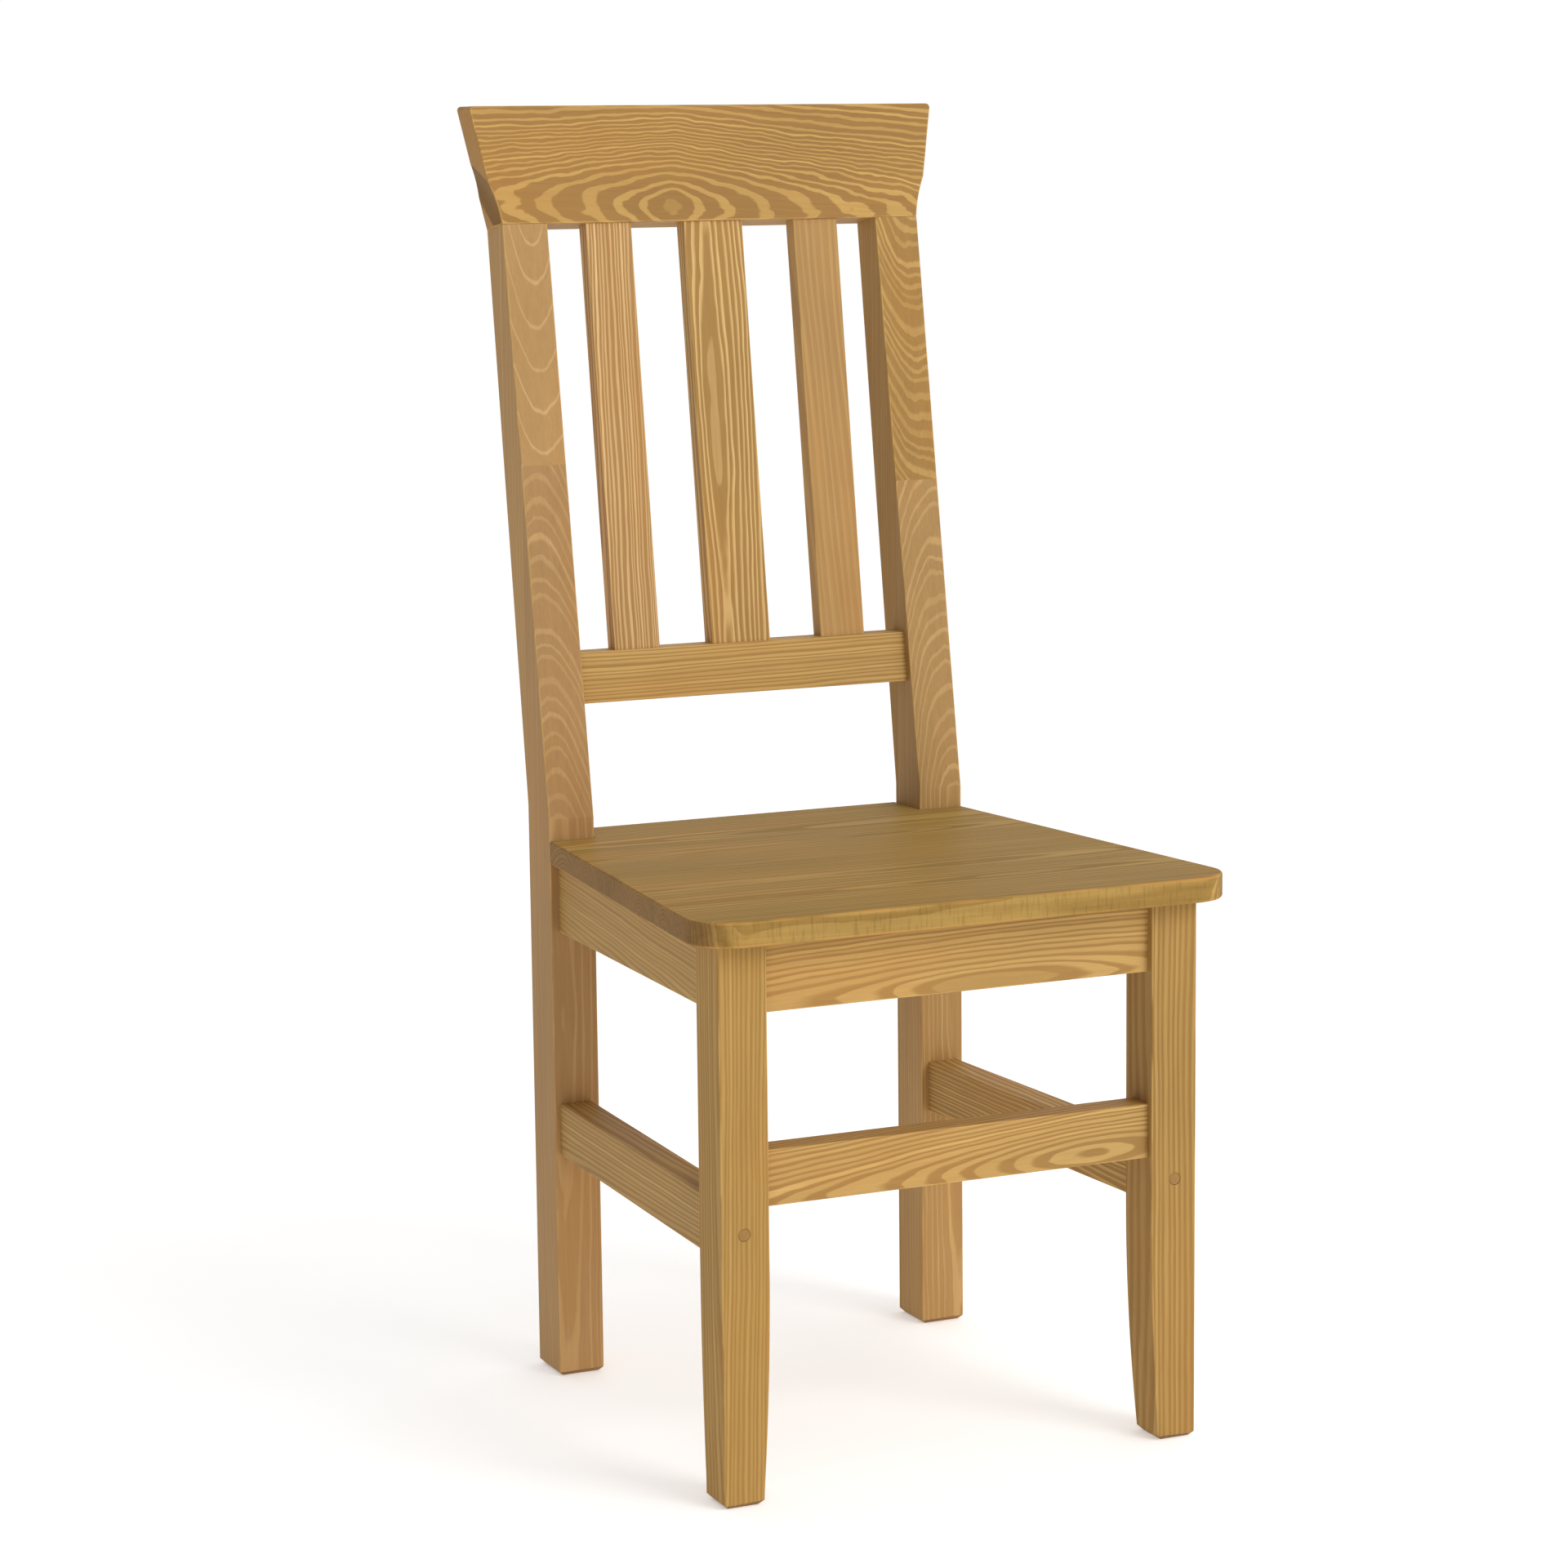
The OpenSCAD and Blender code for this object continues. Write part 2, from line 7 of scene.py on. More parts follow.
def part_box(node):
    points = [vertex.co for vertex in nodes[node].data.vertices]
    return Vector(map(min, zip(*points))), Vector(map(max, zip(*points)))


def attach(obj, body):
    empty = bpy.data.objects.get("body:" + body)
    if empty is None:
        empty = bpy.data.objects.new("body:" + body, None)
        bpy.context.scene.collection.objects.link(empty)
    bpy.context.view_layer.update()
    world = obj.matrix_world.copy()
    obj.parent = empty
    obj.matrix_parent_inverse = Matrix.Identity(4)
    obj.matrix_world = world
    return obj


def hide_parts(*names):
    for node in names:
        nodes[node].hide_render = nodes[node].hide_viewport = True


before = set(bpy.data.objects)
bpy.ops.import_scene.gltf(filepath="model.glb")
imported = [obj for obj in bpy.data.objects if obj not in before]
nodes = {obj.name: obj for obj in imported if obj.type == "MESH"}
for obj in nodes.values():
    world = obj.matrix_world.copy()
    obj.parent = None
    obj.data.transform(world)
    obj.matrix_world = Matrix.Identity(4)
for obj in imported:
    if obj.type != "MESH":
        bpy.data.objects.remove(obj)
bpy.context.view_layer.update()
scene = bpy.context.scene
print("frame loaded:", len(nodes), "nodes")


class Wire:  # a socket that can be used in sums
    def __init__(self, tree, socket=None):
        self.tree, self.socket = tree, socket

    def node(self, kind, settings, sockets, out=0):
        made = self.tree.nodes.new(kind)
        for key, value in settings.items():
            setattr(made, key, value)
        for key, value in sockets.items():
            if isinstance(value, Wire):
                self.tree.links.new(value.socket, made.inputs[key])
            else:
                made.inputs[key].default_value = value
        return Wire(self.tree, made.outputs[out])

    def maths(self, operation, first, second=0.0):
        return self.node("ShaderNodeMath", {"operation": operation}, {0: first, 1: second})

    def __add__(self, other): return self.maths("ADD", self, other)
    def __radd__(self, other): return self.maths("ADD", other, self)
    def __sub__(self, other): return self.maths("SUBTRACT", self, other)
    def __rsub__(self, other): return self.maths("SUBTRACT", other, self)
    def __mul__(self, other): return self.maths("MULTIPLY", self, other)
    def __rmul__(self, other): return self.maths("MULTIPLY", other, self)
    def __truediv__(self, other): return self.maths("DIVIDE", self, other)
    def __pow__(self, other): return self.maths("POWER", self, other)
    def __mod__(self, other): return self.maths("FLOORED_MODULO", self, other)
    def __abs__(self): return self.maths("ABSOLUTE", self)


def step(value, low, high):  # 0 below low, 1 above high, smooth between
    return value.node("ShaderNodeMapRange", {"interpolation_type": "SMOOTHSTEP"},
                      {"Value": value, "From Min": low, "From Max": high})


def noise(place, stretch, detail=2.0, roughness=0.5):
    spot = place.node("ShaderNodeVectorMath", {"operation": "MULTIPLY"}, {0: place, 1: stretch})
    return place.node("ShaderNodeTexNoise", {},
                      {"Vector": spot, "Scale": 1.0, "Detail": detail, "Roughness": roughness})


def lineNoise(value, detail=1.0):
    return value.node("ShaderNodeTexNoise", {"noise_dimensions": "1D"},
                      {"W": value, "Scale": 1.0, "Detail": detail})


def blend(first, second, amount):
    return amount.node("ShaderNodeMix", {"data_type": "RGBA"}, {0: amount, 6: first, 7: second}, 2)


def brighten(colour, amount):
    return colour.node("ShaderNodeVectorMath", {"operation": "SCALE"}, {0: colour, "Scale": amount})


def rgb(red, green, blue):  # a colour as seen on a screen, made linear
    def linear(v):
        return v / 3294.6 if v <= 10.3 else ((v / 255 + 0.055) / 1.055) ** 2.4
    return (linear(red), linear(green), linear(blue), 1.0)


# what every waxed pine piece starts from; a piece's own dictionary changes some of it
pine = {
    "grain": "Z",            # Z upright, X left to right, Y front to back
    "rake": 0.0,             # lean of the piece's own frame about X, in degrees
    "pith": (0.03, 0.06),    # middle of the tree, across the piece, from the middle of its box
    "lean": (0.0, 0.0),      # slope of the pith against the piece, in degrees
    "bow": 0.0,              # how fast the pith draws away in depth to both ends
    "bowAt": 0.0,            # where along the grain it comes nearest
    "bowSoft": 0.03,         # how gently it turns there
    "bowMost": 0.06,         # how far it can draw away
    "ring": 0.0034,          # width of a year
    "late": (0.42, 0.80),    # part of a year where its pale line starts and is full
    "contrast": 0.75,
    "uneven": 1.5,           # how much the years differ in width
    "wave": 0.004,           # slow waver of the lines
    "ripple": 0.0010,        # quick waver, and how fast it changes along the grain
    "rippleRate": 16,
    "tone": 1.0,
    "early": rgb(164, 126, 72),
    "pale": rgb(208, 170, 104),
    "warm": rgb(170, 118, 58),
    "endGrain": rgb(128, 94, 58),
    "dense": None,           # narrow years: how many more, and from what radius to what radius
    "worn": rgb(216, 174, 106),
    "wear": 0.5,             # how far a softened arris is rubbed pale, 0 on a piece that has none
    "hollow": 0.0,           # painted shade: how much darker a scooped face is painted
    "gloss": 0.08,
    "fibres": 0.26,          # how much each pattern changes the shade
    "streaks": 0.18,
    "stains": 0.34,
    "ticks": 0.0,            # saw marks across the grain on an edge that faces front
    "bump": 0.30,
}
# how fast each pattern changes: twice across the grain, then along it
rates = {"wave": (9, 9, 1.8), "rippleAcross": 75, "fibre": (900, 900, 26), "streak": (240, 240, 7),
         "stain": (11, 11, 4), "heat": (21, 17, 5), "tick": (60, 60, 420), "rub": (60, 60, 16)}
grainTurn = {"Z": Matrix.Identity(3), "X": Matrix.Rotation(math.radians(90), 3, "Y"),
             "Y": Matrix.Rotation(math.radians(-90), 3, "X")}


def pineMaterial(name, node, own):
    wood = {**pine, **own}
    low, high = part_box(node)
    turn = Matrix.Rotation(math.radians(-wood["rake"]), 3, "X") @ grainTurn[wood["grain"]]
    along = turn @ Vector((0, 0, 1))
    turn = turn @ Euler([math.radians(v) for v in wood["lean"]] + [0]).to_matrix()
    middle = (low + high) / 2 + turn @ Vector((*wood["pith"], wood["bowAt"]))

    material = bpy.data.materials.new(name)
    material.use_nodes = True
    tree = material.node_tree
    tree.nodes.clear()
    start = Wire(tree)
    spot = start.node("ShaderNodeTexCoord", {}, {}, "Object")
    place = start.node("ShaderNodeMapping", {"vector_type": "TEXTURE"},
                       {"Vector": spot, "Location": middle, "Rotation": turn.to_euler()})
    x, y, z = (start.node("ShaderNodeSeparateXYZ", {}, {0: place}, axis) for axis in range(3))

    # years of growth
    soft = wood["bowSoft"]
    away = ((z * z + soft * soft) ** 0.5 - soft) * wood["bow"]
    depth = y + away * wood["bowMost"] / (away + wood["bowMost"])
    radius = (x * x + depth * depth) ** 0.5
    ripples = (rates["rippleAcross"], rates["rippleAcross"], wood["rippleRate"])
    radius = radius + (noise(place, rates["wave"]) - 0.5) * wood["wave"] * 4
    radius = radius + (noise(place, ripples) - 0.5) * wood["ripple"] * 2
    years = radius / wood["ring"]
    if wood["dense"]:
        more, inner, outer = wood["dense"]
        years = years + step(radius, inner, outer) * more
    years = years + (lineNoise(years * 0.33) - 0.5) * wood["uneven"]
    part = years % 1.0
    line = step(part, *wood["late"]) * (1 - step(part, 0.93, 1.0))
    strong = lineNoise((years - part) * 7.31, 0.0) * 1.1 + 0.35
    band = line * strong * wood["contrast"]

    # fibres and stain
    fibre = noise(place, rates["fibre"], 3.0, 0.6)
    streak = noise(place, rates["streak"])
    stain = noise(place, rates["stain"], 3.0)
    heat = noise(place, rates["heat"])
    colour = blend(wood["early"], wood["pale"], band)
    colour = blend(colour, wood["warm"], step(heat, 0.45, 0.75) * 0.25)
    shade = 1 + (fibre - 0.5) * wood["fibres"] + (streak - 0.5) * wood["streaks"]
    shade = shade + (stain - 0.5) * wood["stains"]
    normal = start.node("ShaderNodeTexCoord", {}, {}, "Normal")
    if wood["ticks"]:
        frontness = start.node("ShaderNodeSeparateXYZ", {}, {0: normal}, 1) * -1
        marks = step(noise(place, rates["tick"], 1.0), 0.5, 0.72)
        shade = shade - marks * step(frontness, 0.6, 0.95) * wood["ticks"]
    colour = brighten(colour, shade * wood["tone"])

    # end grain drinks more stain, rubbed arrises lose it
    facing = abs(start.node("ShaderNodeVectorMath", {"operation": "DOT_PRODUCT"},
                            {0: normal, 1: along}, "Value"))
    endGrain = step(facing, 0.45, 0.85)
    cut = brighten(blend(wood["endGrain"], wood["early"], band * 0.5), shade * wood["tone"])
    colour = blend(colour, cut, endGrain * 0.85)
    if wood["wear"]:
        arris = start.node("ShaderNodeAttribute", {"attribute_name": "arris"}, {}, "Fac")
        rubbed = step(noise(place, rates["rub"], 3.0), 0.36, 0.62)
        colour = blend(colour, wood["worn"], arris * rubbed * wood["wear"] * (1 - endGrain * 0.7))
    # painted shade: the scooped faces at the crest's ends are painted darker
    if wood["hollow"]:
        hollow = start.node("ShaderNodeAttribute", {"attribute_name": "hollow"}, {}, "Fac")
        colour = brighten(colour, 1 - hollow * wood["hollow"])

    rough = 0.56 + (fibre - 0.5) * 0.16 - band * 0.08
    height = band * 0.5 + fibre * 0.5
    bump = start.node("ShaderNodeBump", {}, {"Strength": wood["bump"], "Distance": 0.0004, "Height": height})
    shader = start.node("ShaderNodeBsdfPrincipled", {},
                        {"Base Color": colour, "Roughness": rough, "Normal": bump,
                         "Specular IOR Level": wood["gloss"]})
    finish = tree.nodes.new("ShaderNodeOutputMaterial")
    tree.links.new(shader.socket, finish.inputs[0])
    return material


def only(piece):  # select one piece and nothing else
    bpy.ops.object.select_all(action="DESELECT")
    piece.select_set(True)
    bpy.context.view_layer.objects.active = piece


softening = {
    "merge": 0.000005,       # points closer than this become one
    "flat": 0.05,            # faces that turn less than this become one, in degrees
    "sharp": 20,             # only an edge that turns more is softened, in degrees
    "smooth": 40,            # faces that turn less are shaded as one, in degrees
    "segments": 3,
}


def softened(node, name, passes, own, slot):  # passes: radius, segments and a choice of edges
    mesh = nodes[node].data.copy()
    piece = bpy.data.objects.new(name, mesh)
    scene.collection.objects.link(piece)
    mesh.materials.clear()
    material = pineMaterial(name + "Pine", node, own)
    mesh.materials.append(material)
    mesh.materials.append(material)
    only(piece)
    bpy.ops.object.mode_set(mode="EDIT")
    bpy.ops.mesh.select_mode(type="EDGE")
    bpy.ops.mesh.select_all(action="SELECT")
    bpy.ops.mesh.remove_doubles(threshold=softening["merge"])
    bpy.ops.mesh.dissolve_limited(angle_limit=math.radians(softening["flat"]))
    picked = 0
    sharp = math.radians(softening["sharp"])
    for radius, segments, choose in passes:
        bpy.ops.mesh.select_all(action="DESELECT")
        cage = bmesh.from_edit_mesh(mesh)
        for edge in cage.edges:
            if edge.is_manifold and edge.is_convex and edge.calc_face_angle() > sharp:
                if choose(edge.verts[0].co, edge.verts[1].co):
                    edge.select_set(True)
                    picked += 1
        bmesh.update_edit_mesh(mesh)
        bpy.ops.mesh.bevel(offset=radius, segments=segments, profile=0.5,
                           clamp_overlap=False, material=1)
    bpy.ops.object.mode_set(mode="OBJECT")
    arris = mesh.attributes.new("arris", "FLOAT", "FACE")
    for face in mesh.polygons:
        arris.data[face.index].value = float(face.material_index == 1)
        face.material_index = 0
    mesh.materials.pop(index=1)
    bpy.ops.object.shade_smooth_by_angle(angle=math.radians(softening["smooth"]))
    bpy.ops.object.modifier_add(type="WEIGHTED_NORMAL")
    piece.modifiers[-1].keep_sharp = True
    bpy.ops.object.modifier_apply(modifier=piece.modifiers[-1].name)
    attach(piece, "root")
    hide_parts(node)
    print(name, picked, "arrises softened")
    return piece


def longEdges(least):
    return lambda a, b: (a - b).length > least


near = 0.0001                # closer than this counts as the same place

# legs
seatLow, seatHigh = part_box("seat_board_front")
underSeat, seatTop = seatLow.z, seatHigh.z
legs = {
    "arris": 0.0011,
    "shortest": 0.008,       # shorter upright edges stay sharp
    "leftPine": {"pith": (-0.055, -0.030), "ring": 0.0036, "late": (0.25, 0.6), "contrast": 0.36,
                 "lean": (0.6, 0.9), "tone": 0.98, "early": rgb(165, 126, 66)},
    "rightPine": {"pith": (0.038, -0.026), "ring": 0.0046, "late": (0.3, 0.62), "contrast": 0.42,
                  "lean": (-0.8, 0.6), "tone": 0.87, "early": rgb(165, 126, 68)},
}


def upright(a, b):
    d = b - a
    return abs(d.z) > 0.9 * d.length and d.length > legs["shortest"]


for side in ("left", "right"):
    softened("front_leg_" + side, "frontLeg" + side.title(),
             [(legs["arris"], softening["segments"], upright)], legs[side + "Pine"], "leg_pine")

posts = {
    "arris": 0.0011,
    "shortest": 0.05,        # the rear boards' shorter edges stay sharp
    "leftFront": {"early": rgb(172, 134, 88), "pale": rgb(200, 161, 110), "pith": (-0.011, -0.060),
                  "ring": 0.0027, "late": (0.62, 0.78), "contrast": 0.5, "wave": 0.0035, "uneven": 2.0},
    "rightFront": {"early": rgb(172, 136, 86), "pale": rgb(204, 166, 112), "pith": (0.015, -0.052),
                   "ring": 0.0028, "late": (0.64, 0.78), "contrast": 0.5, "wave": 0.003, "uneven": 1.8},
    "leftRear": {"early": rgb(178, 140, 90), "pale": rgb(212, 174, 122), "pith": (0.005, 0.018),
                 "ring": 0.0058, "late": (0.84, 0.92), "contrast": 0.55, "wave": 0.002, "uneven": 0.6},
    "rightRear": {"pith": (0.016, 0.070), "ring": 0.0020, "late": (0.5, 0.66), "contrast": 0.5,
                  "wave": 0.003, "tone": 0.97},
}


def offSeam(seam, shortest):  # upright edges away from the glue line
    def choose(a, b):
        return upright(a, b) and (a - b).length > shortest and abs((a.y + b.y) / 2 - seam) > near
    return choose


for side in ("left", "right"):
    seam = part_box("rear_leg_" + side)[1].y
    softened("rear_leg_" + side, "rearLeg" + side.title(),
             [(posts["arris"], softening["segments"], offSeam(seam, 0.0))],
             posts[side + "Front"], "leg_pine")
    softened("rear_post_" + side, "rearPost" + side.title(),
             [(posts["arris"], softening["segments"], offSeam(seam, posts["shortest"]))],
             posts[side + "Rear"], "leg_pine")

# aprons and stretchers
rails = {
    "frontApron": ("front_apron", {
        "grain": "X", "pith": (0.024, -0.020), "bow": 0.07, "bowAt": 0.02, "ring": 0.0038,
        "late": (0.22, 0.5), "contrast": 0.62, "wave": 0.004, "ripple": 0.0014, "tone": 1.02}),
    "rearApron": ("rear_apron", {"grain": "X", "pith": (0.05, 0.03)}),
    "leftApron": ("left_apron", {
        "grain": "Y", "pith": (0.03, 0.05), "ring": 0.0030, "late": (0.15, 0.4),
        "contrast": 0.45, "lean": (2.2, 0)}),
    "rightApron": ("right_apron", {"grain": "Y", "pith": (0.03, -0.05), "ring": 0.0036}),
    "frontStretcher": ("front_stretcher", {
        "grain": "X", "pith": (0.016, -0.026), "bow": 0.10, "bowAt": 0.115, "ring": 0.0030,
        "late": (0.3, 0.5), "contrast": 0.7, "lean": (0, -1.5), "ripple": 0.0014, "tone": 0.96}),
    "leftStretcher": ("left_stretcher", {
        "grain": "Y", "pith": (-0.03, 0.03), "ring": 0.0036, "late": (0.25, 0.5),
        "contrast": 0.5, "lean": (1.0, 0), "tone": 0.95}),
    "rightStretcher": ("right_stretcher", {"grain": "Y", "pith": (-0.03, 0.03), "ring": 0.0032}),
    "lowerBackRail": ("lower_back_rail", {
        "grain": "X", "rake": 9.2, "pith": (0.070, -0.03), "ring": 0.0034, "late": (0.2, 0.5),
        "contrast": 0.6, "tone": 1.04}),
}
thinStock = {"arris": 0.0010, "shortest": 0.1}   # rails and slats: only their long edges are softened
alongPiece = [(thinStock["arris"], softening["segments"], longEdges(thinStock["shortest"]))]
for name, (node, own) in rails.items():
    softened(node, name, alongPiece, own, "back_pine" if name == "lowerBackRail" else "rail_pine")

# slats
slats = {
    "backSlatLeft": ("back_slat_left", {
        "pith": (-0.046, 0.012), "ring": 0.0031, "late": (0.4, 0.62), "contrast": 0.75,
        "early": rgb(170, 130, 80), "pale": rgb(222, 184, 130), "lean": (0, 1.0), "wave": 0.007,
        "ripple": 0.0016, "uneven": 2.6}),
    "backSlatMiddle": ("back_slat_middle", {
        "pith": (-0.010, -0.020), "ring": 0.0036, "contrast": 0.85, "pale": rgb(220, 182, 122),
        "lean": (1.2, 0.6), "wave": 0.007, "ripple": 0.0016}),
    "backSlatRight": ("back_slat_right", {
        "pith": (0.045, -0.012), "ring": 0.0060, "contrast": 0.28, "early": rgb(173, 134, 84),
        "lean": (0.6, -1.0), "wave": 0.007}),
}
slatRake = 8.1               # degrees
for name, (node, own) in slats.items():
    softened(node, name, alongPiece, {"rake": slatRake, **own}, "back_pine")

# crest rail
crest = {
    "arris": 0.0012,
    "corner": 0.0042,        # radius of the two top corners
    "cornerSegments": 6,
    "cornerFrom": 0.2,       # the corners lie beyond this, left and right
    "cornerDrop": 0.012,     # and within this below the top
    "cornerLeast": 0.02,     # and run further than this from front to back
    "rakeAbove": 0.017,      # the posts' front faces lean back from this far above the seat
    "innerWidth": 0.186,     # nearer the middle than this, edges under the rail stay sharp
    "innerDepth": (0.0015, 0.0345),   # between these depths behind the posts' front faces
    "flatEnd": 0.9995,       # an end face that turns more than this cosine is in the scoop, and is painted darker as shade
    "pine": {"grain": "X", "rake": 9.2, "pith": (0.040, -0.036), "lean": (0, 3.5),
             "bow": 0.32, "bowAt": -0.034, "bowSoft": 0.006,
             "ring": 0.0060, "dense": (6.0, 0.040, 0.085), "late": (0.54, 0.64), "contrast": 0.8,
             "wave": 0.0040, "ripple": 0.0028, "rippleRate": 34, "uneven": 0.5, "tone": 0.98,
             # painted shade on the scooped ends
             "hollow": 0.42, "endGrain": rgb(170, 124, 64), "early": rgb(159, 120, 68),
             "pale": rgb(200, 160, 92)},
}
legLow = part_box("rear_leg_right")[0]
rake = math.radians(crest["pine"]["rake"])
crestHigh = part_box("crest_rail")[1]


def behindPosts(p):  # depth behind the raked front faces
    return (p.y - legLow.y) * math.cos(rake) - (p.z - seatTop - crest["rakeAbove"]) * math.sin(rake)


def crestCorner(a, b):  # the two top corners, running front to back
    middle = (a + b) / 2
    atCorner = abs(middle.x) > crest["cornerFrom"] and middle.z > crestHigh.z - crest["cornerDrop"]
    return atCorner and abs((b - a).normalized().x) < 0.3 and abs(a.y - b.y) > crest["cornerLeast"]


def crestRim(a, b):
    middle = (a + b) / 2
    front, back = crest["innerDepth"]
    return not (abs(middle.x) < crest["innerWidth"] and front < behindPosts(middle) < back)


crestRail = softened("crest_rail", "crestRail",
                     [(crest["corner"], crest["cornerSegments"], crestCorner),
                      (crest["arris"], softening["segments"], crestRim)],
                     crest["pine"], "back_pine")
# mark the scooped end faces, which get the painted shade
hollow = crestRail.data.attributes.new("hollow", "FLOAT", "FACE")
arrisOf = crestRail.data.attributes["arris"].data
for side in (-1, 1):
    ends = [f for f in crestRail.data.polygons if f.normal.x * side > 0.5 and arrisOf[f.index].value == 0]
    flat = max(ends, key=lambda f: f.area).normal
    for face in ends:
        hollow.data[face.index].value = float(face.normal.dot(flat) < crest["flatEnd"])
    print("crest end", side, len(ends), "faces,", sum(hollow.data[f.index].value for f in ends), "hollowed")

# seat
seat = {
    "arris": 0.0020,
    "shortest": 0.0018,      # shorter edges stay sharp
    "pine": {"grain": "X", "early": rgb(150, 118, 62), "pale": rgb(180, 146, 82), "tone": 1.04,
             "contrast": 0.7, "late": (0.35, 0.65), "worn": rgb(196, 144, 78), "wear": 0.65,
             "gloss": 0.03, "uneven": 1.8, "wave": 0.006, "streaks": 0.40, "ticks": 0.16},
}
boards = {
    "seatBoardFront": ("seat_board_front", {"pith": (0.016, 0.03), "ring": 0.0035, "lean": (0.8, 0.5)}),
    "seatBoardSecond": ("seat_board_second", {"pith": (0.018, -0.02), "ring": 0.0030, "lean": (1.0, 1.2)}),
    "seatBoardThird": ("seat_board_third", {"pith": (0.014, 0.02), "ring": 0.0028, "lean": (-1.0, 1.5)}),
    "seatBoardRear": ("seat_board_rear", {"pith": (0.030, -0.03), "ring": 0.0038}),
}
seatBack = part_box("seat_board_rear")[1].y


def boardOutline(low, high):  # the seat's own edges on this board, not its glue joints
    joints = [v for v in (low.y, high.y) if abs(v - seatLow.y) > 0.001 and abs(v - seatBack) > 0.001]

    def choose(a, b):
        middle = (a + b) / 2
        level = abs(a.z - b.z) < near and min(abs(a.z - underSeat), abs(a.z - seatTop)) < near
        long = (a - b).length > seat["shortest"]
        return level and long and all(abs(middle.y - v) > near for v in joints)
    return choose


for name, (node, own) in boards.items():
    softened(node, name, [(seat["arris"], softening["segments"], boardOutline(*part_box(node)))],
             {**seat["pine"], **own}, "seat_pine")

# hidden and small pieces
hidden = {
    "block": {"grain": "X", "wear": 0},
    "dowel": {"grain": "X", "contrast": 0.2, "wear": 0},
}


def coat(node, material):  # give a carried-over piece its material
    nodes[node].data.materials.clear()
    nodes[node].data.materials.append(material)


for node in [n for n in nodes if n.startswith("corner_block")]:
    coat(node, pineMaterial(node, node, hidden["block"]))
for node in ("apron_dowels", "stretcher_dowels", "back_rail_dowels", "crest_dowels"):
    coat(node, pineMaterial(node, node, hidden["dowel"]))

plug = {
    "sunk": 0.0005,          # the front face starts this far in
    "dome": ((0.0006, -0.0005), (0.0012, -0.00012), (0.0014, -0.00006)),   # inset, then move
    "facets": 48,
    "smooth": 30,            # degrees
    "pine": {"grain": "Y", "pith": (0.004, 0.002), "ring": 0.0016, "endGrain": rgb(150, 112, 66), "wear": 0},
    "pieces": {"legPlugLeft": "leg_plug_left", "legPlugRight": "leg_plug_right"},
}
for name, node in plug["pieces"].items():  # a slightly domed plug with an eased rim
    low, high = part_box(node)
    bpy.ops.object.select_all(action="DESELECT")
    bpy.ops.mesh.primitive_cylinder_add(vertices=plug["facets"], radius=(high.x - low.x) / 2,
                                        depth=high.y - low.y, location=(low + high) / 2,
                                        rotation=(math.radians(90), 0, 0))
    piece = bpy.context.object
    piece.name = name
    bpy.ops.object.transform_apply(location=True, rotation=True, scale=True)
    bpy.ops.object.mode_set(mode="EDIT")
    bpy.ops.mesh.select_mode(type="FACE")
    bpy.ops.mesh.select_all(action="DESELECT")
    cage = bmesh.from_edit_mesh(piece.data)
    for face in cage.faces:
        face.select_set(face.normal.y < -0.9)
    bmesh.update_edit_mesh(piece.data)
    bpy.ops.transform.translate(value=(0, plug["sunk"], 0))
    for inward, move in plug["dome"]:
        bpy.ops.mesh.inset(thickness=inward)
        bpy.ops.transform.translate(value=(0, move, 0))
    bpy.ops.object.mode_set(mode="OBJECT")
    bpy.ops.object.shade_smooth_by_angle(angle=math.radians(plug["smooth"]))
    piece.data.materials.append(pineMaterial(name + "Pine", node, plug["pine"]))
    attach(piece, "root")
    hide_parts(node)
    print(name, "domed")

zinc = {"mottle": (300, 300, 300), "dark": rgb(176, 172, 158), "light": rgb(205, 200, 184)}
steel = bpy.data.materials.new("zincSteel")
steel.use_nodes = True
tree = steel.node_tree
spot = Wire(tree).node("ShaderNodeTexCoord", {}, {}, "Object")
mottle = noise(spot, zinc["mottle"], 3.0)
shader = tree.nodes["Principled BSDF"]
tree.links.new((mottle * 0.25 + 0.25).socket, shader.inputs["Roughness"])
tree.links.new(blend(zinc["dark"], zinc["light"], mottle).socket, shader.inputs["Base Color"])
shader.inputs["Metallic"].default_value = 1.0
for node in ("stretcher_screws", "block_screws", "seat_screws"):
    coat(node, steel)
print("hidden pieces and screws coated")

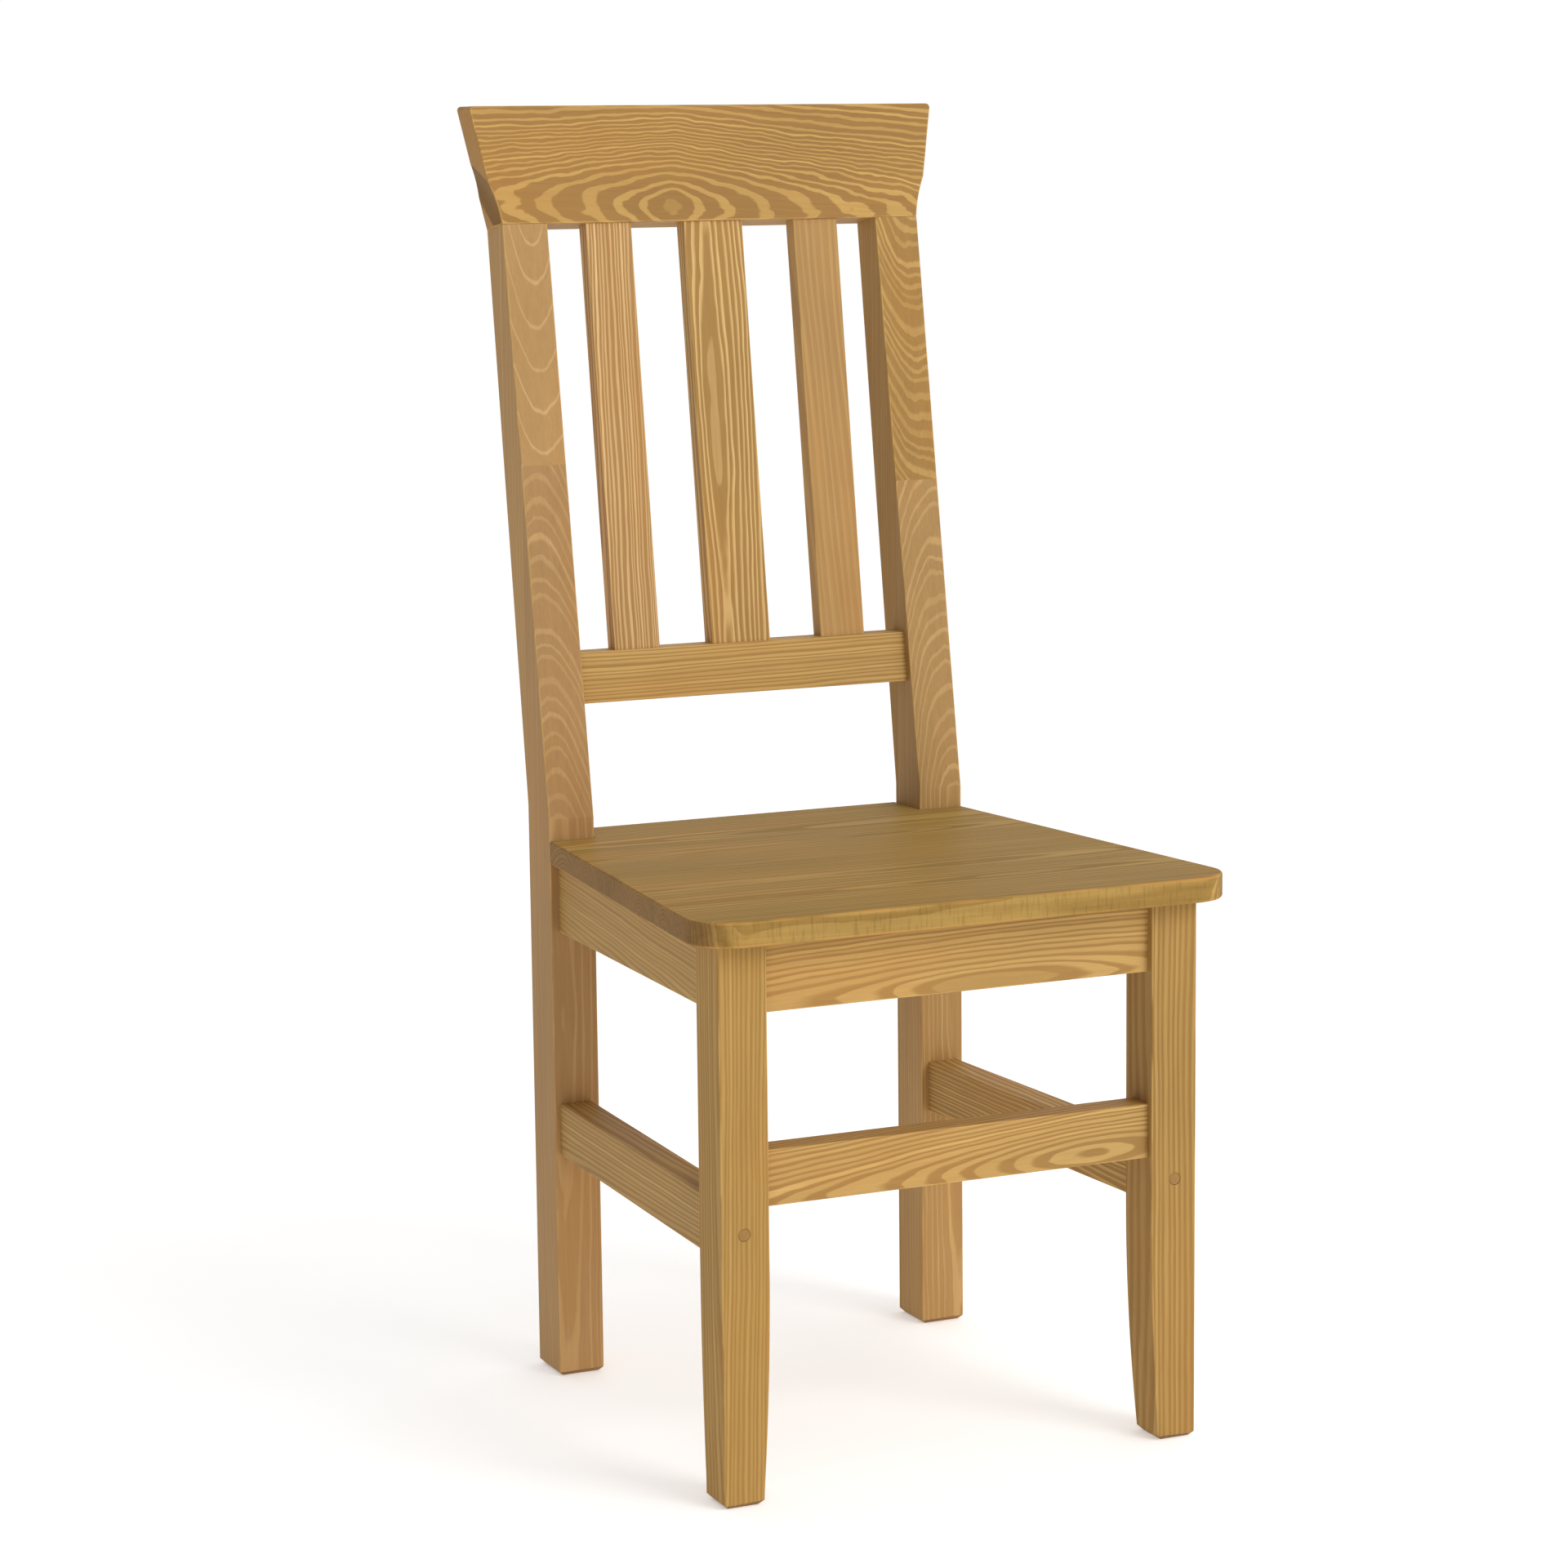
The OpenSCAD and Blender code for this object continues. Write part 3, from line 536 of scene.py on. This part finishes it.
# camera, floor and light
camera = {"at": (-1.4002, -2.9696, 1.0240), "yaw": -24.611, "pitch": -8.857, "roll": -0.643,
          "lens": 93.514, "sensor": 36}
yaw, pitch, roll = (math.radians(camera[k]) for k in ("yaw", "pitch", "roll"))
ahead = Vector((-math.sin(yaw) * math.cos(pitch), math.cos(yaw) * math.cos(pitch), math.sin(pitch)))
right = Vector((math.cos(yaw), math.sin(yaw), 0))
up = right.cross(ahead)
right, up = right * math.cos(roll) + up * math.sin(roll), up * math.cos(roll) - right * math.sin(roll)
lens = bpy.data.cameras.new("camera")
lens.lens = camera["lens"]
lens.sensor_width = camera["sensor"]
view = bpy.data.objects.new("camera", lens)
scene.collection.objects.link(view)
turn = Matrix((right, up, -ahead)).transposed()
view.matrix_world = Matrix.Translation(camera["at"]) @ turn.to_4x4()
scene.camera = view

paper = {"size": 40, "colour": (0.97, 0.97, 0.97, 1), "rough": 0.9, "glow": 0.34}
bpy.ops.object.select_all(action="DESELECT")
bpy.ops.mesh.primitive_plane_add(size=paper["size"], location=(0, 0, 0))
floor = bpy.context.object
floor.name = "floor"
palePaper = bpy.data.materials.new("palePaper")
palePaper.use_nodes = True
sheet = palePaper.node_tree.nodes["Principled BSDF"].inputs
sheet["Base Color"].default_value = paper["colour"]
sheet["Roughness"].default_value = paper["rough"]
sheet["Emission Color"].default_value = (1, 1, 1, 1)
sheet["Emission Strength"].default_value = paper["glow"]
floor.data.materials.append(palePaper)

# white all round, darker to the left and overhead
studio = {"left": (-0.9, 0.15), "leftShade": 0.34, "top": (0.25, 1.0), "topShade": 0.25}
world = bpy.data.worlds.new("studio")
scene.world = world
world.use_nodes = True
around = Wire(world.node_tree).node("ShaderNodeTexCoord", {}, {}, "Generated")
leftRight = around.node("ShaderNodeSeparateXYZ", {}, {0: around}, 0)
height = around.node("ShaderNodeSeparateXYZ", {}, {0: around}, 2)
sides = step(leftRight, *studio["left"]) * (1 - studio["leftShade"]) + studio["leftShade"]
sky = sides * (1 - step(height, *studio["top"]) * studio["topShade"])
world.node_tree.links.new(blend((0, 0, 0, 1), (1, 1, 1, 1), sky).socket,
                          world.node_tree.nodes["Background"].inputs[0])

key = {"at": (1.6, -3.2, 2.4), "target": (0, 0, 0.5), "size": 1.8, "power": 54}
light = bpy.data.lights.new("keyLight", "AREA")
light.shape, light.size, light.energy = "SQUARE", key["size"], key["power"]
lamp = bpy.data.objects.new("keyLight", light)
scene.collection.objects.link(lamp)
lamp.location = key["at"]
lamp.rotation_euler = (Vector(key["target"]) - Vector(key["at"])).to_track_quat("-Z", "Y").to_euler()
scene.view_settings.view_transform = "Standard"
print("camera and light in place")
